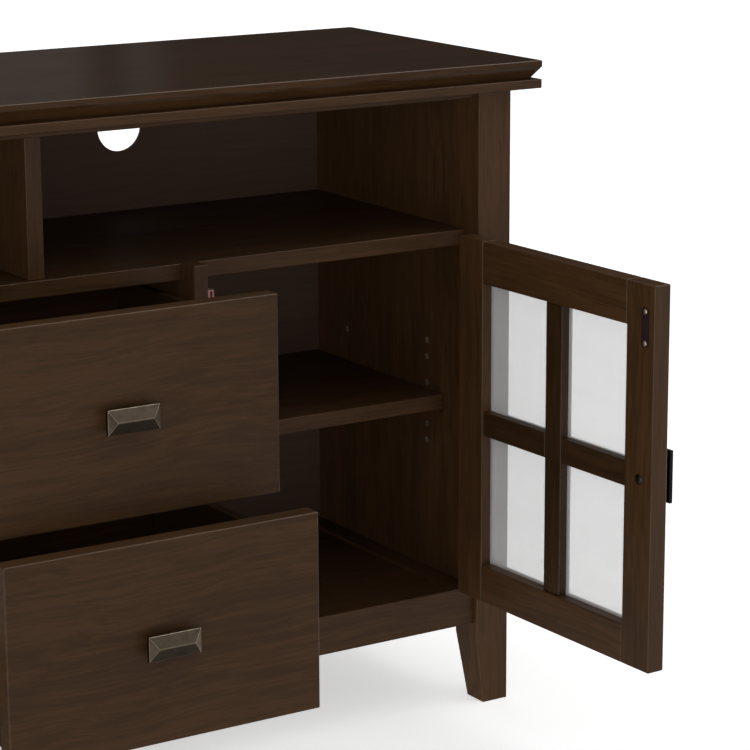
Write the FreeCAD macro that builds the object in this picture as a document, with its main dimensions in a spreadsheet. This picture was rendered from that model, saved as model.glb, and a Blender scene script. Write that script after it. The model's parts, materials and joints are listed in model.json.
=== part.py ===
import FreeCAD, Part
import os
import re

# A television stand in stained wood. Millimetres, X to the right, Y to the back, Z up.
# The origin is on the floor, under the middle of the four posts.
# The pose is the photographed one: right door open, both drawers pulled out, left door shut.

SIZES = [
    # Carcass
    ("body_width", 1311),
    ("body_depth", 425),
    ("total_height", 852),
    ("post_size", 49),
    ("foot_size", 38),
    ("taper_height", 86),
    ("overhang", 28),
    ("rear_overhang", 4),
    ("top_thick", 24),
    ("lip_height", 8),
    ("bevel_inset", 11.5),
    ("subtop_thick", 11.5),
    ("top_rail_height", 10.5),
    ("top_rail_setback", 9),
    ("rail_thick", 20),
    ("rail_top", 161),
    ("rail_height", 51),
    ("rail_setback", 8),
    ("side_rail_inset", 28),
    ("side_panel_thick", 16),
    ("floor_thick", 12),
    ("floor_drop", 5),
    ("groove_depth", 6),
    ("back_inset", 29),
    ("back_thick", 5),
    ("shelf_top", 634.5),
    ("board_thick", 20.3),
    ("shelf_gap", 6.3),
    ("divider_thick", 20.5),
    ("divider_shift", 5.6),
    ("divider_gap", 6),
    ("partition_gap", 390.4),
    ("partition_thick", 18.6),
    ("stile_rise", 1.2),
    ("cable_hole_radius", 32.5),
    ("cable_hole_drop", 70.5),
    ("cable_hole_offset", 302),
    # Loose shelves and what they rest on
    ("loose_thick", 20),
    ("loose_setback", 78),
    ("loose_end_gap", 1.5),
    ("loose_back_gap", 2),
    ("hole_front", 119),
    ("hole_rear_inset", 78),
    ("hole_lowest", 336),
    ("hole_pair", 22),
    ("hole_pitch", 57),
    ("sleeve_radius", 4),
    ("sleeve_depth", 10),
    ("sleeve_bore_radius", 2.5),
    ("sleeve_bore_depth", 9),
    ("pin_clearance", 0.05),
    ("support_drop", 6),
    ("support_width", 12),
    ("support_plate", 1.2),
    ("support_reach", 14),
    # Doors and drawer fronts
    ("front_thick", 23.7),
    ("door_gap", 4.2),
    ("door_rise", 1.4),
    ("drawer_gap", 6),
    ("drawer_rise", 3.3),
    ("drawer_reveal", 2.6),
    ("drawer_side_gap", 1),
    ("latch_gap", 1.8),
    ("hinge_gap", 4.4),
    ("stile_width", 51),
    ("door_top_rail", 53.6),
    ("door_bottom_rail", 49),
    ("muntin_width", 32),
    ("muntin_recess", 3.3),
    ("pane_thick", 3),
    ("pane_setback", 6.5),
    ("pane_groove", 5),
    # Hinges
    ("hinge_length", 60),
    ("hinge_inset", 70),
    ("leaf_gap", 0.4),
    ("leaf_reach", 20),
    ("barrel_radius", 4),
    ("barrel_forward", 9),
    ("pin_radius", 1.5),
    ("pin_running", 0.05),
    ("knuckle_gap", 0.3),
    ("barrel_clear", 0.5),
    # Drawer boxes and their slides
    ("box_inset", 16),
    ("box_side_thick", 12.5),
    ("box_top_drop", 38),
    ("box_bottom_rise", 12),
    ("box_back_gap", 38),
    ("box_floor_thick", 5),
    ("box_floor_rise", 10),
    ("box_groove", 5),
    ("slide_height", 36),
    ("slide_metal", 2),
    ("slide_depth", 12),
    ("slide_clear", 0.3),
    ("slide_start", 4),
    ("slide_end", 2),
    # Knobs, catches and strikes
    ("knob_length", 64.5),
    ("knob_width", 28.8),
    ("knob_rim_back", 11),
    ("knob_rim_front", 16),
    ("knob_rise", 5.5),
    ("knob_hip", 9.75),
    ("knob_ridge", 0.4),
    ("knob_stem_radius", 6),
    ("knob_edge_inset", 23),
    ("bolt_radius", 2),
    ("bolt_head_radius", 6.4),
    ("bolt_head_thick", 2.5),
    ("bolt_clearance", 0.2),
    ("bolt_overrun", 1),
    ("strike_width", 13.4),
    ("strike_length", 47),
    ("strike_thick", 1),
    ("strike_top_drop", 28),
    ("strike_edge_inset", 9.5),
    ("strike_corner", 3.5),
    ("catch_block", 14.6),
    ("catch_reach", 22),
    ("catch_depth", 26),
    ("catch_height", 28),
    ("catch_gap", 1.5),
    ("catch_wall", 2.2),
    # Rounding of the edges
    ("ease", 1.2),
    ("top_ease", 2),
    ("post_ease", 1.5),
    ("front_ease", 1.8),
    # Photographed pose
    ("right_door_open", 91.7),
    ("upper_drawer_out", 199),
    ("lower_drawer_out", 284),
]

doc = FreeCAD.newDocument("tv_stand")
sheet = doc.addObject("Spreadsheet::Sheet", "sizes")
for row, (word, amount) in enumerate(SIZES, 1):
    sheet.set(f"A{row}", word)
    sheet.set(f"B{row}", str(amount))
    sheet.setAlias(f"B{row}", word)
doc.recompute()

value = dict(SIZES)
nodes = []

# Places that many pieces share, as formulas of the sizes
FRONT = "(0 - body_depth / 2)"
POST_TOP = "(total_height - top_thick - subtop_thick)"
WALL = "(body_width / 2 - post_size)"
BACK = "(body_depth / 2 - back_inset)"
SHELF_UNDER = "(shelf_top - board_thick)"
SHELF_FRONT = f"({FRONT} + front_thick + shelf_gap)"
BEHIND_RAIL = f"({FRONT} + rail_setback + rail_thick)"
FLOOR_TOP = "(rail_top - floor_drop)"
DOOR_BOTTOM = "(rail_top + door_gap)"
DOOR_TOP = "(shelf_top + door_rise)"
DOOR_MIDDLE = f"(({DOOR_BOTTOM} + {DOOR_TOP}) / 2)"
DRAWER_BOTTOM = "(rail_top + drawer_gap)"
DRAWER_TOP = "(shelf_top + drawer_rise)"
PART_IN = "(partition_gap / 2)"
PART_OUT = "(partition_gap / 2 + partition_thick)"
DOOR_NEAR = f"({PART_OUT} + latch_gap)"
DOOR_FAR = f"({WALL} - hinge_gap)"
PIN_X = DOOR_FAR
PIN_Y = f"({FRONT} - barrel_forward)"
DRAWER_HALF = f"({PART_IN} - drawer_side_gap)"
DRAWER_HEIGHT = f"(({DRAWER_TOP} - {DRAWER_BOTTOM} - drawer_reveal) / 2)"
BOX_HALF = f"({DRAWER_HALF} - box_inset)"
BOX_FRONT = f"({FRONT} + front_thick)"
BOX_BACK = f"({BACK} - box_back_gap)"
SLIDE_Y = (f"({BOX_FRONT} + slide_start)", f"({BOX_BACK} - slide_end - {BOX_FRONT} - slide_start)")
SHELF_HOLE = "(hole_lowest + hole_pitch)"
LOOSE_BOTTOM = f"({SHELF_HOLE} - support_drop)"
HOLE_ROWS = (f"({FRONT} + hole_front)", f"({BACK} - hole_rear_inset)")
LEAF = "((hinge_gap - leaf_gap) / 2)"


def ex(text):
    """A formula in size names turned into one that points at the sheet."""
    return re.sub(r"[a-z_]+", lambda found: "sizes." + found.group(), text)


def number(text):
    """The same formula worked out as a plain number."""
    return float(sheet.evalExpression(ex(text)))


def place(item, x, y, z):
    for axis, text in (("x", x), ("y", y), ("z", z)):
        item.setExpression("Placement.Base." + axis, ex(text))
    return item


def box(name, x, y, z):
    """A block. Each of x, y, z is a pair: where it starts and how long it is."""
    item = doc.addObject("Part::Box", name)
    item.setExpression("Length", ex(x[1]))
    item.setExpression("Width", ex(y[1]))
    item.setExpression("Height", ex(z[1]))
    return place(item, x[0], y[0], z[0])


def span(low, high):
    return (low, f"({high} - {low})")


def sided(side, low, high):
    """A stretch of X on the right side, or its mirror on the left."""
    return span(low, high) if side > 0 else span(f"(0 - {high})", f"(0 - {low})")


def turned(axis, angle):
    return FreeCAD.Placement(FreeCAD.Vector(), FreeCAD.Rotation(FreeCAD.Vector(*axis), angle))


def rod(name, radius, length, x, y, z, turn=None):
    """A round bar, upright unless it is turned about an axis."""
    item = doc.addObject("Part::Cylinder", name)
    item.setExpression("Radius", ex(radius))
    item.setExpression("Height", ex(length))
    if turn:
        item.Placement = turned(*turn)
    return place(item, x, y, z)


ALONG_X = ((0, 1, 0), 90)
ALONG_Y = ((1, 0, 0), -90)


def group(name, parts):
    item = doc.addObject("Part::Compound", name)
    item.Links = parts
    return item


def join(name, parts):
    item = doc.addObject("Part::MultiFuse", name)
    item.Shapes = parts
    item.Refine = True
    return item


def cut(name, base, tools):
    item = doc.addObject("Part::Cut", name)
    item.Base = base
    item.Tool = tools[0] if len(tools) == 1 else group(name + "_tools", tools)
    return item


def eased(name, base, radius="ease", keep=None):
    """Rounds the edges of a piece, all of them or those that keep() picks."""
    doc.recompute()
    item = doc.addObject("Part::Fillet", name)
    item.Base = base
    amount = value[radius]
    picked = [i for i, edge in enumerate(base.Shape.Edges, 1) if keep is None or keep(edge)]
    item.Edges = [(i, amount, amount) for i in picked]
    return item


def board(name, x, y, z, radius="ease"):
    """A block of wood with all of its edges eased."""
    return eased(name, box(name + "_blank", x, y, z), radius)


def node(name, item, placement=None):
    """Marks an object as a finished piece of the stand."""
    item.Label = name
    if placement is not None:
        item.Placement = placement
    nodes.append(item)
    return item


# Top: an overhanging board with a square lip and a long bevel underneath, on a thin second board.
def make_top():
    half = "(body_width / 2 + overhang)"
    front = f"({FRONT} - overhang)"
    rear = "(body_depth / 2 + rear_overhang)"
    x = span(f"(0 - {half})", half)
    y = span(front, rear)
    lip = box("top_lip", x, y, ("(total_height - lip_height)", "lip_height"))
    taper = doc.addObject("Part::Wedge", "top_bevel")
    taper.Placement = turned((1, 0, 0), 90)
    for prop, text in (
        ("Ymin", "(total_height - top_thick)"),
        ("Ymax", "(total_height - lip_height)"),
        ("Xmin", f"(0 - {half} + bevel_inset)"),
        ("Xmax", f"({half} - bevel_inset)"),
        ("X2min", f"(0 - {half})"),
        ("X2max", half),
        ("Zmin", f"(0 - {rear})"),
        ("Zmax", f"(0 - {front} - bevel_inset)"),
        ("Z2min", f"(0 - {rear})"),
        ("Z2max", f"(0 - {front})"),
    ):
        taper.setExpression(prop, ex(text))
    blank = join("top_blank", [lip, taper])

    def upper_edge(edge):
        return edge.BoundBox.ZMin > value["total_height"] - 0.01

    node("top_board", eased("top_board", blank, "top_ease", upper_edge))
    node("sub_top_board", board("sub_top_board", x, y, (POST_TOP, "subtop_thick")))


# Posts: square, running down to the floor as legs that taper on their two inner faces.
def make_post(name, side, row):
    outer = "(body_width / 2)"
    x_top = sided(side, f"({outer} - post_size)", outer)
    near = FRONT if row < 0 else "(body_depth / 2 - post_size)"
    shaft = box(name + "_shaft", x_top, (near, "post_size"), span("taper_height", POST_TOP))
    leg = doc.addObject("Part::Wedge", name + "_leg")
    leg.Placement = turned((1, 0, 0), 90)
    x_foot = sided(side, f"({outer} - foot_size)", outer)
    y_foot = (FRONT, "foot_size") if row < 0 else ("(body_depth / 2 - foot_size)", "foot_size")
    for prop, text in (
        ("Ymin", "0 * foot_size"),
        ("Ymax", "taper_height"),
        ("Xmin", x_foot[0]),
        ("Xmax", f"({x_foot[0]} + {x_foot[1]})"),
        ("X2min", x_top[0]),
        ("X2max", f"({x_top[0]} + {x_top[1]})"),
        ("Zmin", f"(0 - {y_foot[0]} - {y_foot[1]})"),
        ("Zmax", f"(0 - {y_foot[0]})"),
        ("Z2min", f"(0 - {near} - post_size)"),
        ("Z2max", f"(0 - {near})"),
    ):
        leg.setExpression(prop, ex(text))
    blank = join(name + "_blank", [shaft, leg])
    panel_x = side * (value["body_width"] / 2 - value["post_size"])
    panel_y = row * (value["body_depth"] / 2 - value["post_size"])

    def outer_edge(edge):
        middle = edge.CenterOfMass
        upright = edge.BoundBox.ZLength > 10
        by_panel = abs(middle.x - panel_x) < 0.01 and abs(middle.y - panel_y) < 0.01
        return upright and not by_panel

    node(name, eased(name, blank, "post_ease", outer_edge))


# Sides: a panel flush with the inner faces of the posts, standing on a rail that also carries the floor.
def make_side(name, side, floor_tool):
    y = span(f"({FRONT} + post_size)", "(body_depth / 2 - post_size)")
    x_panel = sided(side, WALL, f"({WALL} + side_panel_thick)")
    panel = box(name + "_side_blank", x_panel, y, span("rail_top", POST_TOP))
    holes = sleeve_rods(name + "_side_hole", side, WALL, 1, "sleeve_radius", "sleeve_depth")
    node(name + "_side_panel", cut(name + "_side_panel", panel, holes))
    make_lower_rail(name, side, floor_tool)


# The lower side rail fills between the posts and steps inwards to run from the front rail to the back.
def make_lower_rail(name, side, floor_tool):
    z = ("(rail_top - rail_height)", "rail_height")
    inner_x = f"({WALL} - side_rail_inset)"
    inner = box(name + "_lower_inner", sided(side, inner_x, WALL), span(BEHIND_RAIL, BACK), z)
    between = span(f"({FRONT} + post_size)", "(body_depth / 2 - post_size)")
    outer = box(name + "_lower_outer", sided(side, WALL, f"({WALL} + side_panel_thick)"), between, z)
    blank = join(name + "_lower_blank", [inner, outer])
    edge_x = side * number(inner_x)

    def inner_edge(edge):
        return edge.BoundBox.YLength > 50 and abs(edge.CenterOfMass.x - edge_x) < 0.01

    shaped = eased(name + "_lower_shaped", blank, "ease", inner_edge)
    node(name + "_lower_rail", cut(name + "_lower_rail", shaped, [floor_tool]))


# Rails across the front and the back, between the posts.
def make_rails(floor_tool):
    x = span(f"(0 - {WALL})", WALL)
    low = ("(rail_top - rail_height)", "rail_height")
    y_top = (f"({FRONT} + top_rail_setback)", "rail_thick")
    z_top = (f"({POST_TOP} - top_rail_height)", "top_rail_height")
    node("front_top_rail", board("front_top_rail", x, y_top, z_top))
    front = board("front_bottom_blank", x, (f"({FRONT} + rail_setback)", "rail_thick"), low)
    node("front_bottom_rail", cut("front_bottom_rail", front, [floor_tool]))
    rear_y = (f"({BACK} + back_thick)", "rail_thick")
    node("rear_bottom_rail", board("rear_bottom_rail", x, rear_y, low))


# Floor of the lower compartments, let into grooves in the front rail and the side rails.
def make_floor(name):
    half = f"({WALL} - side_rail_inset + groove_depth)"
    y = span(f"({BEHIND_RAIL} - groove_depth)", BACK)
    return box(name, span(f"(0 - {half})", half), y, (f"({FLOOR_TOP} - floor_thick)", "floor_thick"))


# Back: one sheet between the rear posts, with a round cable hole behind each upper bay.
def make_back():
    z = span("(rail_top - rail_height)", POST_TOP)
    blank = box("back_blank", span(f"(0 - {WALL})", WALL), (BACK, "back_thick"), z)
    start = f"({BACK} - back_thick)"
    middle = f"({POST_TOP} - cable_hole_drop)"
    holes = []
    for word, x in (("right", "cable_hole_offset"), ("left", "(0 - cable_hole_offset)")):
        name = f"cable_hole_{word}"
        holes.append(rod(name, "cable_hole_radius", "3 * back_thick", x, start, middle, ALONG_Y))
    node("back_panel", cut("back_panel", blank, holes))


# Fixed shelf, the divider of the two upper bays, and the two partitions beside the drawers.
def make_inside():
    x = span(f"(0 - {WALL})", WALL)
    node("mid_shelf", board("mid_shelf", x, span(SHELF_FRONT, BACK), (SHELF_UNDER, "board_thick")))
    x = span("(divider_shift - divider_thick / 2)", "(divider_shift + divider_thick / 2)")
    y = span(f"({FRONT} + top_rail_setback + rail_thick + divider_gap)", BACK)
    node("centre_divider", board("centre_divider", x, y, span("shelf_top", POST_TOP)))
    for name, side in (("left", -1), ("right", 1)):
        make_partition(name, side)


# A partition's front edge comes forward past the shelf and the front rail, to close between the fronts.
def make_partition(name, side):
    x = sided(side, PART_IN, PART_OUT)
    main = box(name + "_partition_main", x, span(FRONT, BACK), span("rail_top", SHELF_UNDER))
    heel = box(name + "_partition_heel", x, span(BEHIND_RAIL, BACK), span(FLOOR_TOP, "rail_top"))
    nose_z = span(SHELF_UNDER, "(shelf_top + stile_rise)")
    nose = box(name + "_partition_nose", x, span(FRONT, SHELF_FRONT), nose_z)
    blank = join(name + "_partition_blank", [main, heel, nose])
    front_y = 0 - value["body_depth"] / 2

    def front_edge(edge):
        return edge.BoundBox.YMax < front_y + 0.01

    shaped = eased(name + "_partition_shaped", blank, "ease", front_edge)
    holes = sleeve_rods(name + "_partition_hole", side, PART_OUT, -1, "sleeve_radius", "sleeve_depth")
    node(name + "_partition", cut(name + "_partition", shaped, holes))


# Rows of shelf holes, one above the other: three pairs at the front and three single holes at the back.
def hole_places():
    for row, holes in zip(HOLE_ROWS, (2, 1)):
        for pair in range(3):
            for one in range(holes):
                yield row, f"(hole_lowest + {pair} * hole_pitch + {one} * hole_pair)"


def sleeve_rods(name, side, face, into, radius, depth):
    """Bars that start in a face and run into the wood, one at each shelf hole."""
    start = face if into > 0 else f"({face} - {depth})"
    low = start if side > 0 else f"(0 - {start} - {depth})"
    rods = []
    for count, (row, z) in enumerate(hole_places(), 1):
        rods.append(rod(f"{name}_{count}", radius, depth, low, row, z, ALONG_X))
    return rods


# Metal sleeves pressed into all the shelf holes.
def make_sleeves():
    sleeves = []
    for name, side in (("left", -1), ("right", 1)):
        for word, face, into in (("wall", WALL, 1), ("partition", PART_OUT, -1)):
            tag = f"{name}_{word}_sleeve"
            bodies = sleeve_rods(tag, side, face, into, "sleeve_radius", "sleeve_depth")
            bores = sleeve_rods(tag + "_bore", side, face, into, "sleeve_bore_radius", "sleeve_bore_depth")
            for count, (body, bore) in enumerate(zip(bodies, bores), 1):
                sleeves.append(cut(f"{tag}_cut_{count}", body, [bore]))
    node("hole_sleeves", group("hole_sleeves", sleeves))


# Loose shelves on bent metal supports that plug into the sleeves of the middle pair.
def make_loose_shelves():
    supports = []
    for name, side in (("left", -1), ("right", 1)):
        x = sided(side, f"({PART_OUT} + loose_end_gap)", f"({WALL} - loose_end_gap)")
        y = span(f"({FRONT} + loose_setback)", f"({BACK} - loose_back_gap)")
        node(name + "_shelf", board(name + "_shelf", x, y, (LOOSE_BOTTOM, "loose_thick")))
        for word, face, into in (("wall", WALL, 1), ("partition", PART_OUT, -1)):
            for count, row in enumerate(HOLE_ROWS, 1):
                supports.append(make_support(f"{name}_{word}_support_{count}", side, face, into, row))
    node("shelf_supports", group("shelf_supports", supports))


def make_support(name, side, face, into, row):
    y = (f"({row} - support_width / 2)", "support_width")
    tab_z = (f"({LOOSE_BOTTOM} - support_plate)", "support_plate")
    plate_in = f"({face} - {into} * support_plate)"
    tab_in = f"({face} - {into} * support_reach)"
    ends = (plate_in, face) if into > 0 else (face, plate_in)
    plate_z = span(tab_z[0], f"({SHELF_HOLE} + support_width / 2)")
    plate = box(name + "_plate", sided(side, *ends), y, plate_z)
    ends = (tab_in, face) if into > 0 else (face, tab_in)
    tab = box(name + "_tab", sided(side, *ends), y, tab_z)
    radius = "(sleeve_bore_radius - pin_clearance)"
    depth = "(sleeve_bore_depth - pin_clearance)"
    start = face if into > 0 else f"({face} - {depth})"
    low = start if side > 0 else f"(0 - {start} - {depth})"
    pin = rod(name + "_pin", radius, depth, low, row, SHELF_HOLE, ALONG_X)
    return join(name, [plate, tab, pin])


# Hinges: the post leaf carries the two outer knuckles and the pin.
def hinge_heights():
    return (
        f"({DOOR_BOTTOM} + hinge_inset - hinge_length / 2)",
        f"({DOOR_TOP} - hinge_inset - hinge_length / 2)",
    )


PLATE_Y = span(f"({PIN_Y} + barrel_radius + barrel_clear)", f"({FRONT} + leaf_reach)")
TAB_Y = span(PIN_Y, f"({PIN_Y} + barrel_radius + barrel_clear)")


def make_post_leaves():
    leaves = []
    third = "(hinge_length / 3)"
    for name, side in (("left", -1), ("right", 1)):
        pin_x = PIN_X if side > 0 else f"(0 - {PIN_X})"
        x = sided(side, f"({WALL} - {LEAF})", WALL)
        for count, z in enumerate(hinge_heights(), 1):
            tag = f"{name}_post_leaf_{count}"
            upper = f"({z} + 2 * {third})"
            parts = [
                box(tag + "_plate", x, PLATE_Y, (z, "hinge_length")),
                box(tag + "_tab_low", x, TAB_Y, (z, third)),
                box(tag + "_tab_high", x, TAB_Y, (upper, third)),
                rod(tag + "_knuckle_low", "barrel_radius", third, pin_x, PIN_Y, z),
                rod(tag + "_knuckle_high", "barrel_radius", third, pin_x, PIN_Y, upper),
                rod(tag + "_pin", "pin_radius", "hinge_length", pin_x, PIN_Y, z),
            ]
            leaves.append(join(tag, parts))
    node("post_hinge_leaves", group("post_hinge_leaves", leaves))


def make_door_leaves(name, side, placement):
    leaves = []
    third = "(hinge_length / 3)"
    pin_x = PIN_X if side > 0 else f"(0 - {PIN_X})"
    x = sided(side, DOOR_FAR, f"({DOOR_FAR} + {LEAF})")
    for count, z in enumerate(hinge_heights(), 1):
        tag = f"{name}_leaf_{count}"
        middle = (f"({z} + {third} + knuckle_gap)", f"({third} - 2 * knuckle_gap)")
        parts = [
            box(tag + "_plate", x, PLATE_Y, (z, "hinge_length")),
            box(tag + "_tab", x, TAB_Y, middle),
            rod(tag + "_knuckle", "barrel_radius", middle[1], pin_x, PIN_Y, middle[0]),
        ]
        bore = rod(tag + "_bore", "(pin_radius + pin_running)", "hinge_length", pin_x, PIN_Y, z)
        leaves.append(cut(tag, join(tag + "_blank", parts), [bore]))
    node(name + "_hinge_leaves", group(name + "_hinge_leaves", leaves), placement)


# Doors: two stiles, two rails and glazing bars, grooved for four panes of glass.
def make_door(name, side, placement):
    y = (FRONT, "front_thick")
    z = span(DOOR_BOTTOM, DOOR_TOP)
    inner_near = f"({DOOR_NEAR} + stile_width)"
    inner_far = f"({DOOR_FAR} - stile_width)"
    x_rail = sided(side, inner_near, inner_far)
    low_rail = (DOOR_BOTTOM, "door_bottom_rail")
    high_rail = (f"({DOOR_TOP} - door_top_rail)", "door_top_rail")
    panes = make_panes(name, side, inner_near, inner_far)
    hole_x, hole_z = knob_centre_on_door()
    bolt_hole = bolt_hole_in_door(name, side, hole_x, hole_z)
    members = (
        ("hinge_stile", sided(side, inner_far, DOOR_FAR), z, [panes]),
        ("latch_stile", sided(side, DOOR_NEAR, inner_near), z, [panes, bolt_hole]),
        ("top_rail", x_rail, high_rail, [panes]),
        ("bottom_rail", x_rail, low_rail, [panes]),
    )
    for word, x_piece, z_piece, tools in members:
        blank = board(f"{name}_{word}_blank", x_piece, y, z_piece, "front_ease")
        node(f"{name}_{word}", cut(f"{name}_{word}", blank, tools), placement)
    make_muntins(name, side, inner_near, inner_far, panes, placement)
    node(name + "_panes", group(name + "_panes", panes.Links), placement)
    make_door_fittings(name, side, hole_x, hole_z, placement)
    make_door_leaves(name, side, placement)


# Panes reach into grooves in the frame and in the glazing bars.
def make_panes(name, side, inner_near, inner_far):
    middle_x = f"(({inner_near} + {inner_far}) / 2)"
    half = "(muntin_width / 2 - pane_groove)"
    columns = (
        (f"({inner_near} - pane_groove)", f"({middle_x} - {half})"),
        (f"({middle_x} + {half})", f"({inner_far} + pane_groove)"),
    )
    rows = (
        (f"({DOOR_BOTTOM} + door_bottom_rail - pane_groove)", f"({DOOR_MIDDLE} - {half})"),
        (f"({DOOR_MIDDLE} + {half})", f"({DOOR_TOP} - door_top_rail + pane_groove)"),
    )
    y = (f"({FRONT} + pane_setback)", "pane_thick")
    panes = []
    for column in columns:
        for row in rows:
            panes.append(box(f"{name}_pane_{len(panes) + 1}", sided(side, *column), y, span(*row)))
    return group(name + "_pane_shapes", panes)


def make_muntins(name, side, inner_near, inner_far, panes, placement):
    y = (f"({FRONT} + muntin_recess)", "(front_thick - 2 * muntin_recess)")
    middle_x = f"(({inner_near} + {inner_far}) / 2)"
    left_of_bar = f"({middle_x} - muntin_width / 2)"
    right_of_bar = f"({middle_x} + muntin_width / 2)"
    upright_z = span(f"({DOOR_BOTTOM} + door_bottom_rail)", f"({DOOR_TOP} - door_top_rail)")
    cross_z = (f"({DOOR_MIDDLE} - muntin_width / 2)", "muntin_width")
    bars = (
        ("upright", sided(side, left_of_bar, right_of_bar), upright_z),
        ("cross_near", sided(side, inner_near, left_of_bar), cross_z),
        ("cross_far", sided(side, right_of_bar, inner_far), cross_z),
    )
    made = []
    for word, x, z in bars:
        blank = board(f"{name}_{word}_blank", x, y, z, "front_ease")
        made.append(cut(f"{name}_{word}", blank, [panes]))
    node(name + "_muntins", group(name + "_muntins", made), placement)


# Fittings of a door: an upright knob held by a bolt, and the plate that meets the catch.
def knob_centre_on_door():
    return (f"({DOOR_NEAR} + knob_edge_inset)", DOOR_MIDDLE)


def bolt_hole_in_door(name, side, x, z):
    hole_x = x if side > 0 else f"(0 - {x})"
    radius = "(bolt_radius + bolt_clearance)"
    length = "(front_thick + 2 * bolt_overrun)"
    return rod(name + "_bolt_hole", radius, length, hole_x, f"({FRONT} - bolt_overrun)", z, ALONG_Y)


def make_door_fittings(name, side, x, z, placement):
    centre_x = x if side > 0 else f"(0 - {x})"
    node(name + "_knob", make_knob(name + "_knob", centre_x, FRONT, z, upright=True), placement)
    inner_face = f"({FRONT} + front_thick)"
    shank = rod(name + "_shank", "bolt_radius", "front_thick", centre_x, FRONT, z, ALONG_Y)
    head = rod(name + "_head", "bolt_head_radius", "bolt_head_thick", centre_x, inner_face, z, ALONG_Y)
    node(name + "_knob_bolt", join(name + "_knob_bolt", [shank, head]), placement)
    near = f"({DOOR_NEAR} + strike_edge_inset)"
    plate_z = (f"({DOOR_TOP} - strike_top_drop - strike_length)", "strike_length")
    plate_x = sided(side, near, f"({near} + strike_width)")
    plate = box(name + "_strike_blank", plate_x, (inner_face, "strike_thick"), plate_z)

    def corner(edge):
        return edge.BoundBox.XLength < 0.01 and edge.BoundBox.ZLength < 0.01

    shaped = eased(name + "_strike_shape", plate, "strike_corner", corner)
    node(name + "_strike_plate", group(name + "_strike_plate", [shaped]), placement)


# A knob is a round stem and a flat rim under a low hipped pyramid.
def make_knob(name, x, face, z, upright=False):
    rim_depth = "(knob_rim_front - knob_rim_back)"
    size_x, size_z = ("knob_width", "knob_length") if upright else ("knob_length", "knob_width")
    stem_y = f"({face} - knob_rim_back)"
    stem = rod(name + "_stem", "knob_stem_radius", "knob_rim_back", x, stem_y, z, ALONG_Y)
    rim_y = (f"({face} - knob_rim_front)", rim_depth)
    rim_x = (f"({x} - {size_x} / 2)", size_x)
    rim_z = (f"({z} - {size_z} / 2)", size_z)
    rim = box(name + "_rim", rim_x, rim_y, rim_z)
    roof = doc.addObject("Part::Wedge", name + "_roof")
    roof.Placement = turned((0, 0, 1), 180)
    ridge = "(knob_length / 2 - knob_hip)"
    ridge_x, ridge_z = ("knob_ridge", ridge) if upright else (ridge, "knob_ridge")
    for prop, text in (
        ("Ymin", f"(knob_rim_front - {face})"),
        ("Ymax", f"(knob_rim_front + knob_rise - {face})"),
        ("Xmin", f"(0 - {x} - {size_x} / 2)"),
        ("Xmax", f"(0 - {x} + {size_x} / 2)"),
        ("X2min", f"(0 - {x} - {ridge_x})"),
        ("X2max", f"(0 - {x} + {ridge_x})"),
        ("Zmin", f"({z} - {size_z} / 2)"),
        ("Zmax", f"({z} + {size_z} / 2)"),
        ("Z2min", f"({z} - {ridge_z})"),
        ("Z2max", f"({z} + {ridge_z})"),
    ):
        roof.setExpression(prop, ex(text))
    return join(name, [stem, rim, roof])


# Catches on the partitions, just behind the latch stiles: a block with a mouth that is open below.
def make_catches():
    catches = []
    for name, side in (("left", -1), ("right", 1)):
        y0 = f"({FRONT} + front_thick + strike_thick + catch_gap)"
        top = f"({DOOR_TOP} - strike_top_drop - (strike_length - catch_height) / 2)"
        bottom = f"({top} - catch_height)"
        x = sided(side, PART_OUT, f"({PART_OUT} + catch_reach)")
        case = box(name + "_catch_case", x, (y0, "catch_depth"), (bottom, "catch_height"))
        mouth = f"({PART_OUT} + catch_block + catch_wall)"
        x_slot = sided(side, mouth, f"({PART_OUT} + catch_reach - catch_wall)")
        y_slot = (y0, "(catch_depth - catch_wall)")
        slot = box(name + "_catch_slot", x_slot, y_slot, span(bottom, f"({top} - catch_wall)"))
        catches.append(cut(name + "_catch", case, [slot]))
    node("door_catches", group("door_catches", catches))


def drawer_levels(level):
    """Where a drawer front starts, and the stretch of height of its box sides."""
    low = f"({DRAWER_BOTTOM} + {level} * ({DRAWER_HEIGHT} + drawer_reveal))"
    return low, (f"({low} + box_bottom_rise)", f"({DRAWER_HEIGHT} - box_bottom_rise - box_top_drop)")


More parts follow.
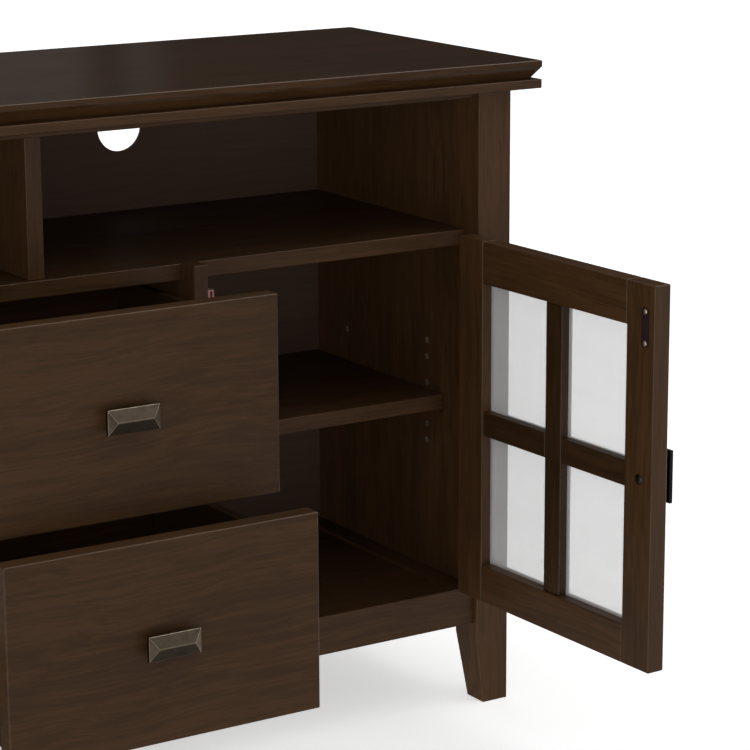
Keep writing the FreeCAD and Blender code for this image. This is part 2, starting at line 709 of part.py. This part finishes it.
# Drawers: a front wider than its box, with the box sides and back grooved for a thin bottom.
def make_drawer(name, level, out):
    placement = FreeCAD.Placement(FreeCAD.Vector(0, 0 - value[out], 0), FreeCAD.Rotation())
    low, side_z = drawer_levels(level)
    inner = f"({BOX_HALF} - box_side_thick)"
    floor_half = f"({inner} + box_groove)"
    floor_y = span(f"({BOX_FRONT} - box_groove)", f"({BOX_BACK} - box_side_thick + box_groove)")
    floor_z = (f"({side_z[0]} + box_floor_rise)", "box_floor_thick")
    bottom = box(name + "_bottom_shape", span(f"(0 - {floor_half})", floor_half), floor_y, floor_z)
    front_x = span(f"(0 - {DRAWER_HALF})", DRAWER_HALF)
    front_y = (FRONT, "front_thick")
    blank = board(name + "_front_blank", front_x, front_y, (low, DRAWER_HEIGHT), "front_ease")
    node(name + "_front", cut(name + "_front", blank, [bottom]), placement)
    for word, side in (("left", -1), ("right", 1)):
        piece = box(f"{name}_{word}_blank", sided(side, inner, BOX_HALF), span(BOX_FRONT, BOX_BACK), side_z)
        node(f"{name}_{word}_side", cut(f"{name}_{word}_side", piece, [bottom]), placement)
    rear_y = (f"({BOX_BACK} - box_side_thick)", "box_side_thick")
    rear = box(name + "_back_blank", span(f"(0 - {inner})", inner), rear_y, side_z)
    node(name + "_back", cut(name + "_back", rear, [bottom]), placement)
    node(name + "_bottom", group(name + "_bottom", [bottom]), placement)
    middle = f"({low} + {DRAWER_HEIGHT} / 2)"
    node(name + "_knob", make_knob(name + "_knob", "(0 * knob_width)", FRONT, middle), placement)
    make_drawer_slides(name, side_z, placement)


# Slides: a bar on each side of the drawer runs in a channel on the partition.
def slide_middle(side_z):
    return f"({side_z[0]} + {side_z[1]} / 2)"


def make_drawer_slides(name, side_z, placement):
    half = "(slide_height / 2 - slide_metal - slide_clear)"
    z = (f"({slide_middle(side_z)} - {half})", f"(2 * {half})")
    bars = []
    for word, side in (("left", -1), ("right", 1)):
        x = sided(side, BOX_HALF, f"({PART_IN} - slide_metal - slide_clear)")
        bars.append(box(f"{name}_{word}_bar", x, SLIDE_Y, z))
    node(name + "_slides", group(name + "_slides", bars), placement)


def make_runners():
    runners = []
    for level in range(2):
        middle = slide_middle(drawer_levels(level)[1])
        high = f"({middle} + slide_height / 2 - slide_metal)"
        low = f"({middle} - slide_height / 2)"
        for word, side in (("left", -1), ("right", 1)):
            tag = f"runner_{level}_{word}"
            web = sided(side, f"({PART_IN} - slide_metal)", PART_IN)
            lips = sided(side, f"({PART_IN} - slide_depth)", PART_IN)
            parts = [
                box(tag + "_web", web, SLIDE_Y, (low, "slide_height")),
                box(tag + "_low", lips, SLIDE_Y, (low, "slide_metal")),
                box(tag + "_high", lips, SLIDE_Y, (high, "slide_metal")),
            ]
            runners.append(join(tag, parts))
    node("drawer_runners", group("drawer_runners", runners))


make_top()
make_post("front_left_post", -1, -1)
make_post("front_right_post", 1, -1)
make_post("rear_left_post", -1, 1)
make_post("rear_right_post", 1, 1)
floor_shape = make_floor("floor_shape")
make_side("left", -1, floor_shape)
make_side("right", 1, floor_shape)
make_rails(floor_shape)
node("bottom_panel", make_floor("bottom_panel"))
make_back()
make_inside()
make_sleeves()
make_loose_shelves()
make_post_leaves()
make_catches()
make_runners()

hinge_point = FreeCAD.Vector(number(PIN_X), number(PIN_Y), 0)
swung = FreeCAD.Rotation(FreeCAD.Vector(0, 0, 1), value["right_door_open"])
make_door("right_door", 1, FreeCAD.Placement(FreeCAD.Vector(), swung, hinge_point))
make_door("left_door", -1, FreeCAD.Placement())
make_drawer("upper_drawer", 1, "upper_drawer_out")
make_drawer("lower_drawer", 0, "lower_drawer_out")

doc.recompute()
for item in doc.Objects:
    if "Invalid" in item.State or "Error" in item.State:
        raise RuntimeError(f"{item.Name} did not build: {item.State}")
os.makedirs("parts", exist_ok=True)
for item in nodes:
    if item.Shape.isNull() or not item.Shape.isValid():
        raise RuntimeError(f"{item.Label} has no sound shape")
    item.Shape.exportStep(f"parts/{item.Label}.step")
print(len(nodes), "pieces written")
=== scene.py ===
import json
import math

import bmesh
import bpy
from mathutils import Matrix, Vector


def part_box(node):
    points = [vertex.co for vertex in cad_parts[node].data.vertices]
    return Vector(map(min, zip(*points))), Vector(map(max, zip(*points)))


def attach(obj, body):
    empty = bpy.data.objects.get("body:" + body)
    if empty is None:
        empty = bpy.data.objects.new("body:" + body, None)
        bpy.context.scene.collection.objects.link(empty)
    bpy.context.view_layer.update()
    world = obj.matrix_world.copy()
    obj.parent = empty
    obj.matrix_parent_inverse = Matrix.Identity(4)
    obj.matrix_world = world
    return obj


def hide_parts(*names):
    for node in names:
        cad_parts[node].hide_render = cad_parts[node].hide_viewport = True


# A television stand in dark stained wood, right door open and both drawers pulled out.
# Metres, X to the right, Y to the back, Z up, with the origin on the floor under its middle.
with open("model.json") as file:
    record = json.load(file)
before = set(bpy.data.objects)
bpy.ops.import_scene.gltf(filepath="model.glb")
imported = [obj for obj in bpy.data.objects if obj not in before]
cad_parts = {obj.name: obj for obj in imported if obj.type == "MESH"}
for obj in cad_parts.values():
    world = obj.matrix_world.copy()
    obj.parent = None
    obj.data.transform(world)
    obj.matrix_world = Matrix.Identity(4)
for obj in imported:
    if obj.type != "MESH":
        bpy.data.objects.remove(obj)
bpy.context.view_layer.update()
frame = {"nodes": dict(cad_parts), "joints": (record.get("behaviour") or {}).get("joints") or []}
nodes = frame["nodes"]


# Top: a thick board with a square lip over a long bevel, and a thin board of the same plan under it.
# Both are stained walnut brown under lacquer, polished on top, with the grain running along the stand.
# The same stain is on every board, turned to the way that the board was sawn, a little paler on the posts
# and deepened as painted shade on the glazing bars and drawer sides.
class Shade:
    """A socket in a material, so that sums on it can be written as plain sums."""

    def __init__(self, tree, socket=None):
        self.tree = tree
        self.socket = socket

    def node(self, kind, settings=None, inputs=None, output=0):
        made = self.tree.nodes.new("ShaderNode" + kind)
        for word, setting in (settings or {}).items():
            setattr(made, word, setting)
        for key, given in (inputs or {}).items():
            if isinstance(given, Shade):
                self.tree.links.new(given.socket, made.inputs[key])
            else:
                made.inputs[key].default_value = given
        return Shade(self.tree, made.outputs[output])

    def maths(self, operation, first, second=0.0):
        return self.node("Math", {"operation": operation}, {0: first, 1: second})

    def __add__(self, other):
        return self.maths("ADD", self, other)

    def __radd__(self, other):
        return self.maths("ADD", other, self)

    def __sub__(self, other):
        return self.maths("SUBTRACT", self, other)

    def __rsub__(self, other):
        return self.maths("SUBTRACT", other, self)

    def __mul__(self, other):
        return self.maths("MULTIPLY", self, other)

    def vectors(self, operation, other):
        return self.node("VectorMath", {"operation": operation}, {0: self, 1: other})

    def noise(self, scale, detail=2.0, roughness=0.5):
        inputs = {"Vector": self, "Scale": scale, "Detail": detail, "Roughness": roughness}
        return self.node("TexNoise", None, inputs)

    def marks(self, per_metre, detail=2.0, roughness=0.5):
        """Noise with its own number of marks per metre along each axis."""
        return self.vectors("MULTIPLY", per_metre).noise(1, detail, roughness)

    def ranged(self, low, high, to_low=0.0, to_high=1.0):
        inputs = {"Value": self, "From Min": low, "From Max": high, "To Min": to_low, "To Max": to_high}
        return self.node("MapRange", {"interpolation_type": "SMOOTHSTEP"}, inputs)

    def spread(self, to_low=0.0, to_high=1.0):
        """Noise over a whole range, since nearly all of it lies between 0.3 and 0.7."""
        return self.ranged(0.3, 0.7, to_low, to_high)

    def blend(self, first, second):
        """Two colours mixed by this value."""
        return self.node("Mix", {"data_type": "RGBA"}, {0: self, 6: first, 7: second}, 2)


def new_material(name):
    """A material with its main shader, and a start for its sums."""
    material = bpy.data.materials.new(name)
    material.use_nodes = True
    shader = material.node_tree.nodes["Principled BSDF"]
    return material, shader, Shade(material.node_tree)


def feed(shader, socket, given):
    given.tree.links.new(given.socket, shader.inputs[socket])


def colour(red, green, blue):
    return (red, green, blue, 1)


ALONG_X = (0, 0, 0)
ALONG_Y = (0, 0, math.radians(-90))
ALONG_Z = (0, math.radians(90), 0)
dark_stain, light_stain = (0.0395, 0.0184, 0.0067), (0.0680, 0.0319, 0.0117)
dark_tone, light_tone = 0.36, 0.61
satin_rough, polished_rough, line_rough = 0.36, 0.1, 0.08
lacquer_gloss, line_strength, line_depth = 0.2, 0.2, 0.0002

# Marks in each metre of a board's length, width and thickness, how far they sway, and each kind's share.
sway_marks, sway_reach = (3, 8, 8), 0.05
line_marks, band_marks = (11, 300, 300), (6, 110, 110)
cloud_marks, pore_marks = (2.5, 16, 16), (22, 620, 620)
line_share, band_share, cloud_share, pore_share = 0.38, 0.40, 0.22, 0.07


def grain(start, turn):
    """The grain's tone from 0, dark, to 1, light, and its fine lines, for boards sawn along one way."""
    place = start.node("TexCoord", output="Object")
    along = place.node("Mapping", None, {"Vector": place, "Rotation": turn})
    sway = along.marks(sway_marks) * sway_reach
    bent = along.vectors("ADD", sway.node("CombineXYZ", None, {1: sway, 2: sway}))
    lines = bent.marks(line_marks, 4, 0.6)
    bands = bent.marks(band_marks, 3, 0.65)
    clouds = bent.marks(cloud_marks)
    pores = bent.marks(pore_marks, 1).ranged(0.56, 0.72)
    tone = lines * line_share + bands * band_share + clouds * cloud_share - pores * pore_share
    return tone, lines


def stain(shader, tone, lines, depth=1.0, rough=satin_rough):
    """Walnut stain by the grain's tone, under satin lacquer that the lines just show through."""
    dark, light = (colour(*(depth * part for part in shade)) for shade in (dark_stain, light_stain))
    relief = {"Strength": line_strength, "Distance": line_depth, "Height": lines}
    feed(shader, "Base Color", tone.ranged(dark_tone, light_tone).blend(dark, light))
    feed(shader, "Roughness", lines.spread(rough + line_rough, rough))
    feed(shader, "Normal", lines.node("Bump", None, relief))
    shader.inputs["Specular IOR Level"].default_value = lacquer_gloss


def stained_wood(name, turn, depth=1.0, rough=satin_rough):
    material, shader, start = new_material(name)
    stain(shader, *grain(start, turn), depth, rough)
    return material


def finish(material, *names):
    for name in names:
        for material_slot in nodes[name].material_slots:
            material_slot.material = material


polished_top = stained_wood("polished_top", ALONG_X, rough=polished_rough)
wood_along = stained_wood("wood_along", ALONG_X)
finish(polished_top, "top_board")
finish(wood_along, "sub_top_board")

# Posts: four square lengths that run down to the floor as legs, tapered on the two inner faces.
# The side panels stand between them, flush inside, and their grain is upright too.
post_wood = stained_wood("post_wood", ALONG_Z, depth=1.12)
wood_upright = stained_wood("wood_upright", ALONG_Z)
finish(post_wood, "front_left_post", "front_right_post", "rear_left_post", "rear_right_post")
finish(wood_upright, "left_side_panel", "right_side_panel")

# Rails: across the front and back between the posts, and low down on each side.
# They are cut from the same boards, so those on the sides have their grain front to back.
wood_across = stained_wood("wood_across", ALONG_Y)
finish(wood_along, "front_top_rail", "front_bottom_rail", "rear_bottom_rail")
finish(wood_across, "left_lower_rail", "right_lower_rail")

# Inside boards: the fixed shelf, the floor and two loose shelves run along the stand.
# The divider of the bays and the partitions beside the drawers stand upright.
finish(wood_along, "mid_shelf", "bottom_panel", "left_shelf", "right_shelf")
finish(wood_upright, "centre_divider", "left_partition", "right_partition")


# Back: one thin pressed sheet with a printed dark face, smoother and greyer than the boards.
# The drawer bottoms are cut from the same sheet.
def back_sheet():
    material, shader, start = new_material("back_sheet")
    tone, lines = grain(start, ALONG_X)
    print_dark, print_light = colour(0.080, 0.048, 0.033), colour(0.096, 0.060, 0.042)
    rough_dark, rough_light, gloss = 0.62, 0.5, 0.12
    feed(shader, "Base Color", tone.spread().blend(print_dark, print_light))
    feed(shader, "Roughness", lines.spread(rough_dark, rough_light))
    shader.inputs["Specular IOR Level"].default_value = gloss
    return material


back_face = back_sheet()
finish(back_face, "back_panel", "upper_drawer_bottom", "lower_drawer_bottom")


# Shelf holes: nickel sleeves pressed into the wood. Bent steel supports plug in under each loose shelf.
# Both are brushed front to back and a little clouded.
def plated_metal(name, deep, pale, rough, metallic):
    material, shader, start = new_material(name)
    cloud_scale, brush_marks, brush_rough = 60, (400, 60, 400), 0.14
    place = start.node("TexCoord", output="Object")
    cloud = place.noise(cloud_scale, 3)
    brushed = place.marks(brush_marks)
    feed(shader, "Base Color", cloud.spread().blend(deep, pale))
    feed(shader, "Roughness", brushed.spread(rough, rough + brush_rough))
    shader.inputs["Metallic"].default_value = metallic
    return material


steel = plated_metal("zinc_steel", colour(0.20, 0.195, 0.185), colour(0.30, 0.29, 0.275), 0.34, 1)
nickel = plated_metal("satin_nickel", colour(0.25, 0.23, 0.20), colour(0.36, 0.34, 0.30), 0.4, 0.7)
finish(nickel, "hole_sleeves")
finish(steel, "shelf_supports")

# Door frames: two stiles with the grain upright, and two rails between them with the grain level.
# Thinner glazing bars cross in the middle. The right door is shown swung open on its pins.
right_hinge = next(joint for joint in frame["joints"] if joint["name"] == "right_door_hinge")
open_angle = math.radians(-right_hinge["range_deg"][0])
pin = Matrix.Translation(right_hinge["pos_m"])
swung = pin @ Matrix.Rotation(open_angle, 4, "Z") @ pin.inverted()
doors = {"left_door": (ALONG_X, Matrix.Identity(4), -1), "right_door": ((0, 0, -open_angle), swung, 1)}
muntin_width, muntin_seam = 0.032, 0.0008


def glazing_bar_wood(name, turn, low, high):
    """Upright grain on the middle bar, and level grain on the two bars that meet it, in a stain deepened
    as painted shade.
    """
    material, shader, start = new_material(name)
    level, level_lines = grain(start, turn)
    upright, upright_lines = grain(start, ALONG_Z)
    place = start.node("TexCoord", output="Object")
    flat = place.vectors("SUBTRACT", (low + high) / 2).vectors("MULTIPLY", (1, 1, 0))
    away = flat.node("VectorMath", {"operation": "LENGTH"}, {0: flat}, "Value")
    on_cross = away.maths("GREATER_THAN", away, muntin_width / 2 + muntin_seam)
    tone = on_cross * level + (1 - on_cross) * upright
    # The depth of 0.62 is painted shade, for the bars set back behind the stiles where less light
    # reaches.
    stain(shader, tone, on_cross * level_lines + (1 - on_cross) * upright_lines, depth=0.62)
    return material


for door, (turn, _, _) in doors.items():
    level_wood = wood_along if door == "left_door" else stained_wood(door + "_level_wood", turn)
    finish(wood_upright, door + "_hinge_stile", door + "_latch_stile")
    finish(level_wood, door + "_top_rail", door + "_bottom_rail")
    finish(glazing_bar_wood(door + "_bar_wood", turn, *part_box(door + "_muntins")), door + "_muntins")


# Panes: four sheets of clear glass in each door, let into grooves.
# They carry a slight even haze, with faint smears from wiping.
def pane_glass():
    material, shader, start = new_material("pane_glass")
    smear_marks, clear_rough, wiped_rough, haze = (6, 6, 27), 0.03, 0.06, 0.41
    place = start.node("TexCoord", output="Object")
    smear = place.marks(smear_marks, 3)
    clear, wiped = colour(0.90, 0.90, 0.90), colour(0.94, 0.94, 0.94)
    feed(shader, "Base Color", smear.ranged(0.2, 0.8).blend(clear, wiped))
    feed(shader, "Roughness", smear.ranged(0.2, 0.8, clear_rough, wiped_rough))
    shader.inputs["Alpha"].default_value = haze
    return material


glass = pane_glass()
finish(glass, "left_door_panes", "right_door_panes")

# Hinges: a steel butt hinge at two heights on each door, one leaf on the post and one on the stile.
# The leaves are let in flush, and only the round knuckle with its pin shows when a door is shut.
finish(steel, "post_hinge_leaves", "left_door_hinge_leaves", "right_door_hinge_leaves")


# Knobs: cast bars with a flat rim and a low hipped face on a round stem, in aged metal.
# The face is worn grey, the rim and stem keep their black patina, and handling rubbed the edges to tan.
# Drawers have them level, doors upright.
def aged_metal(name, deep, pale, rough, metallic=1):
    material, shader, start = new_material(name)
    patch_scale, patch_rough, pit_scale, pit_strength, pit_depth = 90, 0.12, 900, 0.25, 0.0002
    place = start.node("TexCoord", output="Object")
    patches = place.noise(patch_scale, 4, 0.6)
    pits = place.noise(pit_scale)
    relief = {"Strength": pit_strength, "Distance": pit_depth, "Height": pits}
    feed(shader, "Base Color", patches.spread().blend(deep, pale))
    feed(shader, "Roughness", patches.spread(rough + patch_rough, rough))
    feed(shader, "Normal", pits.node("Bump", None, relief))
    shader.inputs["Metallic"].default_value = metallic
    return material


def keep_piece(name, shape, body, material_slot, *materials):
    """The finished shape as an object that moves with one body of the stand."""
    mesh = bpy.data.meshes.new(name)
    shape.to_mesh(mesh)
    shape.free()
    for material in materials:
        mesh.materials.append(material)
    piece = bpy.data.objects.new(name, mesh)
    bpy.context.scene.collection.objects.link(piece)
    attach(piece, body)
    return piece


worn_metal = aged_metal("worn_metal", colour(0.052, 0.039, 0.028), colour(0.073, 0.056, 0.041), 0.42)
rubbed_metal = aged_metal("rubbed_metal", colour(0.15, 0.115, 0.078), colour(0.19, 0.15, 0.105), 0.4)
patina = aged_metal("patina", colour(0.010, 0.0085, 0.0075), colour(0.016, 0.0135, 0.012), 0.5)
FACE, EDGE, RIM = 0, 1, 2
knob_length, knob_width = 0.0645, 0.0288
knob_rim_back, knob_rim_front, knob_rise = 0.011, 0.016, 0.0055
knob_hip, knob_ridge = 0.00975, 0.0010
knob_stem_radius, knob_stem_foot = 0.006, 0.0075
round_sides = 32
rubbed_width, cast_round = 0.0004, 0.0005


def make_knob(name, body, stance):
    """A level knob on a face at the origin, standing out along -Y, then moved to its place."""
    shape = bmesh.new()
    rim = bmesh.ops.create_cube(shape, size=1)["verts"]
    bmesh.ops.scale(shape, verts=rim, vec=(knob_length, knob_rim_front - knob_rim_back, knob_width))
    bmesh.ops.translate(shape, verts=rim, vec=(0, -(knob_rim_back + knob_rim_front) / 2, 0))
    front = min(shape.faces, key=lambda one: one.calc_center_median().y)
    raised = bmesh.ops.extrude_face_region(shape, geom=[front])
    ridge = [one for one in raised["geom"] if isinstance(one, bmesh.types.BMVert)]
    bmesh.ops.delete(shape, geom=[front], context="FACES_ONLY")
    bmesh.ops.translate(shape, verts=ridge, vec=(0, -knob_rise, 0))
    shrink = (1 - 2 * knob_hip / knob_length, 1, knob_ridge / knob_width)
    bmesh.ops.scale(shape, verts=ridge, vec=shrink)
    bmesh.ops.recalc_face_normals(shape, faces=shape.faces)
    for one in shape.faces:
        one.material_index = FACE if one.calc_center_median().y < -knob_rim_front else RIM
    arrises = {True: [], False: []}
    for edge in shape.edges:
        arrises[any(one.material_index == FACE for one in edge.link_faces)].append(edge)
    for on_face, width in ((True, rubbed_width), (False, cast_round)):
        still = [edge for edge in arrises[on_face] if edge.is_valid]
        eased = bmesh.ops.bevel(
            shape, geom=still, offset=width, affect="EDGES", segments=2, profile=0.5, material=-1
        )
        for one in eased["faces"]:
            one.material_index = EDGE if on_face else RIM
    stem = bmesh.ops.create_cone(
        shape, cap_ends=True, segments=round_sides, radius1=knob_stem_foot, radius2=knob_stem_radius,
        depth=knob_rim_back,
    )["verts"]
    for vert in stem:
        for one in vert.link_faces:
            one.material_index = RIM
    bmesh.ops.rotate(shape, verts=stem, matrix=Matrix.Rotation(math.radians(90), 3, "X"))
    bmesh.ops.translate(shape, verts=stem, vec=(0, -knob_rim_back / 2, 0))
    shape.transform(stance)
    knob = keep_piece(name, shape, body, "aged_metal", worn_metal, rubbed_metal, patina)
    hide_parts(body + "_knob")


for drawer in ("upper_drawer", "lower_drawer"):
    low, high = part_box(drawer + "_knob")
    on_front = Matrix.Translation(((low.x + high.x) / 2, high.y, (low.z + high.z) / 2))
    make_knob(drawer + "_cast_knob", drawer, on_front)

left_low, left_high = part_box("left_door_knob")
on_left = Vector(((left_low.x + left_high.x) / 2, left_high.y, (left_low.z + left_high.z) / 2))
upright = Matrix.Rotation(math.radians(90), 4, "Y")
for door, (_, stance, side) in doors.items():
    on_door = Matrix.Translation((-side * on_left.x, on_left.y, on_left.z))
    make_knob(door + "_cast_knob", door, stance @ on_door @ upright)


# Bolts and strike plates: a dark bolt with a domed head holds each door knob from inside the stile.
# Above it a plum painted plate meets the catch, held by two small brass screws with slotted heads.
def dome_head(radius, height, slot):
    """A domed, slotted head on a face at the origin, standing out along +Y."""
    weld, slot_from, slot_depth = radius / 1000, height * 0.4, height * 0.3
    shape = bmesh.new()
    bmesh.ops.create_uvsphere(shape, u_segments=round_sides, v_segments=round_sides // 2, radius=radius)
    cut = bmesh.ops.bisect_plane(
        shape, geom=shape.verts[:] + shape.edges[:] + shape.faces[:], dist=weld,
        plane_co=(0, 0, 0), plane_no=(0, 0, 1), clear_inner=True,
    )
    foot = [one for one in cut["geom_cut"] if isinstance(one, bmesh.types.BMEdge)]
    bmesh.ops.edgeloop_fill(shape, edges=foot)
    for offset in (-slot / 2, slot / 2):
        bmesh.ops.bisect_plane(
            shape, geom=shape.verts[:] + shape.edges[:] + shape.faces[:], dist=weld,
            plane_co=(offset, 0, 0), plane_no=(1, 0, 0),
        )
    bmesh.ops.scale(shape, verts=shape.verts, vec=(1, 1, height / radius))
    channel = [
        face for face in shape.faces
        if abs(face.calc_center_median().x) < slot / 2 and face.calc_center_median().z > slot_from
    ]
    sunk = bmesh.ops.extrude_face_region(shape, geom=channel)["geom"]
    groove = [one for one in sunk if isinstance(one, bmesh.types.BMVert)]
    bmesh.ops.delete(shape, geom=channel, context="FACES")
    bmesh.ops.translate(shape, verts=groove, vec=(0, 0, -slot_depth))
    bmesh.ops.recalc_face_normals(shape, faces=shape.faces)
    shape.transform(Matrix.Rotation(math.radians(-90), 4, "X"))
    return shape


dark_metal = aged_metal("dark_metal", colour(0.030, 0.024, 0.020), colour(0.055, 0.044, 0.037), 0.38)
plum_paint = aged_metal("plum_paint", colour(0.022, 0.008, 0.010), colour(0.030, 0.011, 0.014), 0.42, 0.3)
brass = aged_metal("brass", colour(0.36, 0.27, 0.18), colour(0.52, 0.42, 0.30), 0.34)
bolt_radius, bolt_height, bolt_slot = 0.0064, 0.0025, 0.0014
screw_radius, screw_height, screw_slot = 0.0034, 0.0014, 0.0009
screw_reach = 0.019
door_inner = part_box("left_door_latch_stile")[1].y
strike_low, strike_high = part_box("left_door_strike_plate")
strike = (strike_low + strike_high) / 2
finish(plum_paint, "left_door_strike_plate", "right_door_strike_plate")
for door, (_, stance, side) in doors.items():
    bolt = dome_head(bolt_radius, bolt_height, bolt_slot)
    bolt.transform(stance @ Matrix.Translation((-side * on_left.x, door_inner, on_left.z)))
    head = keep_piece(door + "_bolt_head", bolt, door, "dark_metal", dark_metal)
    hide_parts(door + "_knob_bolt")
    screws = dome_head(screw_radius, screw_height, screw_slot)
    lower = screws.verts[:] + screws.edges[:] + screws.faces[:]
    upper = bmesh.ops.duplicate(screws, geom=lower)["geom"]
    for screw, reach in ((lower, -screw_reach), (upper, screw_reach)):
        corners = [one for one in screw if isinstance(one, bmesh.types.BMVert)]
        bmesh.ops.translate(screws, verts=corners, vec=(0, 0, reach))
    screws.transform(stance @ Matrix.Translation((-side * strike.x, strike_high.y, strike.z)))
    keep_piece(door + "_strike_screws", screws, door, "dark_metal", brass)


# Catches: a small bent housing of reddish plated steel on each partition, just behind the latch stile.
# It is open below and in front, where the strike plate comes in.
catch_metal = aged_metal("catch_metal", colour(0.30, 0.14, 0.125), colour(0.42, 0.21, 0.19), 0.4, 0.6)
finish(catch_metal, "door_catches")

# Drawers: a solid front with level grain on a plain box, whose sides run front to back, their stain made
# much darker as painted shade inside the box.
# A steel slide with a bar on the drawer and a channel on the partition carries each side.
# The sides' stain is deepened to 0.45 as painted shade, since the fill lamp casts no shadow into the
# boxes.
box_side_painted_shade_wood = stained_wood("box_side_painted_shade_wood", ALONG_Y, depth=0.45)
for drawer in ("upper_drawer", "lower_drawer"):
    finish(wood_along, drawer + "_front", drawer + "_back")
    finish(box_side_painted_shade_wood, drawer + "_left_side", drawer + "_right_side")
    finish(steel, drawer + "_slides")
finish(steel, "drawer_runners")


# Studio: a white floor that glows a little, as on a cut-out catalogue picture, under a soft light.
# A bright wall at the left front gives most of it, with a roof light and lamps above the front and back.
# A weak fill lamp from the left casts no shadow and lightens the insides.
floor_reach, floor_glow = 30, 0.55
white = colour(1, 1, 1)


def white_floor():
    material, shader, _ = new_material("white_floor")
    matt = {"Base Color": white, "Roughness": 0.9, "Specular IOR Level": 0}
    glow = {"Emission Color": white, "Emission Strength": floor_glow}
    for socket, setting in {**matt, **glow}.items():
        shader.inputs[socket].default_value = setting
    return material


ground = bmesh.new()
bmesh.ops.create_grid(ground, x_segments=1, y_segments=1, size=floor_reach)
ground_mesh = bpy.data.meshes.new("floor")
ground.to_mesh(ground_mesh)
ground.free()
ground_mesh.materials.append(white_floor())
floor = bpy.data.objects.new("floor", ground_mesh)
floor.visible_diffuse = False
floor.visible_glossy = False
bpy.context.scene.collection.objects.link(floor)

world = bpy.data.worlds.new("studio")
world.use_nodes = True
bpy.context.scene.world = world
sky = Shade(world.node_tree)
way = sky.node("TexCoord", output="Generated")
right, back, up = (way.node("SeparateXYZ", None, {0: way}, axis) for axis in "XYZ")
wall_from, wall_middle, wall_reach = (-0.82, -0.57, 0), -0.15, 0.7
front_from, rear_from, roof_from = (0.53, -0.31, 0.789), (0, 0.6, 0.8), (-0.15, -0.25, 0.957)
room_light, wall_light, roof_light = 0.12, 1.62, 0.8
front_light, rear_light = 0.5, 0.8


def towards(direction):
    """How nearly each way into the sky points in one direction, as a cosine."""
    return way.node("VectorMath", {"operation": "DOT_PRODUCT"}, {0: way, 1: direction}, "Value")


height = up - wall_middle
wall_rise = height.maths("ABSOLUTE", height).ranged(0, wall_reach, 1, 0)
wall = towards(wall_from).ranged(-0.2, 0.95) * wall_rise
front_lamp = towards(front_from).ranged(0.80, 0.98)
rear_lamp = towards(rear_from).ranged(0.88, 0.98)
roof = towards(roof_from).ranged(0.6, 0.95)
lamps = front_lamp * front_light + rear_lamp * rear_light
light = room_light + wall * wall_light + roof * roof_light + lamps

# The room behind the stand is dim, but for a pale screen and a strip that the polished top mirrors.
# Shiny faces also mirror more of the front lamp, a pale wall and a lamp at the right, and a glow below.
screen_light, beside_screen, strip_light, dimmed = 0.015, -0.027, 0.03, 0.07
front_shine, right_shine, rim_shine, low_shine = 3.5, 0.6, 1.8, 0.15
strip = right.ranged(0.450, 0.454) * right.ranged(0.462, 0.466, 1, 0)
screen = right.ranged(0.436, 0.446, screen_light, beside_screen) + strip * strip_light
behind = back.ranged(0.5, 0.7) * (up.ranged(0.0, 0.05) * screen - dimmed)
low_glow = up.ranged(-0.5, -0.35, low_shine, 0)
right_wall = right.ranged(0.48, 0.70) * back.ranged(-0.2, 0.3, 1, 0)
rim_lamp = right.ranged(0.80, 0.92)
shine = front_lamp * front_shine + right_wall * right_shine + rim_lamp * rim_shine + low_glow
mirrored = sky.node("LightPath", output="Is Glossy Ray")
level = light + behind + mirrored * shine
seen = sky.node("LightPath", output="Is Camera Ray")
feed(world.node_tree.nodes["Background"], "Color", seen.blend(level, white))

fill_strength, fill_from = 0.27, Vector((-0.95, -0.3, 0.05))
fill = bpy.data.lights.new("fill", "SUN")
fill.energy = fill_strength
fill.use_shadow = False
fill_lamp = bpy.data.objects.new("fill", fill)
fill_lamp.matrix_world = fill_from.to_track_quat("Z", "Y").to_matrix().to_4x4()
bpy.context.scene.collection.objects.link(fill_lamp)

# Camera: standing at the left front, a little above the top, with a long lens.
# The photograph is cut at the left and at the foot, so the view is shifted a little to the same frame.
sensor_width, focal_length = 36, 131.77
shift_right, shift_up = -0.0277, -0.0130
camera_place = (-1.3418, -3.0461, 1.2754)
turned, tipped, rolled = math.radians(-32.75), math.radians(90 - 13.325), math.radians(-0.138)
lens = bpy.data.cameras.new("camera")
lens.sensor_width = sensor_width
lens.lens = focal_length
lens.shift_x = shift_right
lens.shift_y = shift_up
camera = bpy.data.objects.new("camera", lens)
aim = Matrix.Rotation(turned, 4, "Z") @ Matrix.Rotation(tipped, 4, "X")
camera.matrix_world = Matrix.Translation(camera_place) @ aim @ Matrix.Rotation(rolled, 4, "Z")
bpy.context.scene.collection.objects.link(camera)
bpy.context.scene.camera = camera
bpy.context.scene.view_settings.view_transform = "Standard"
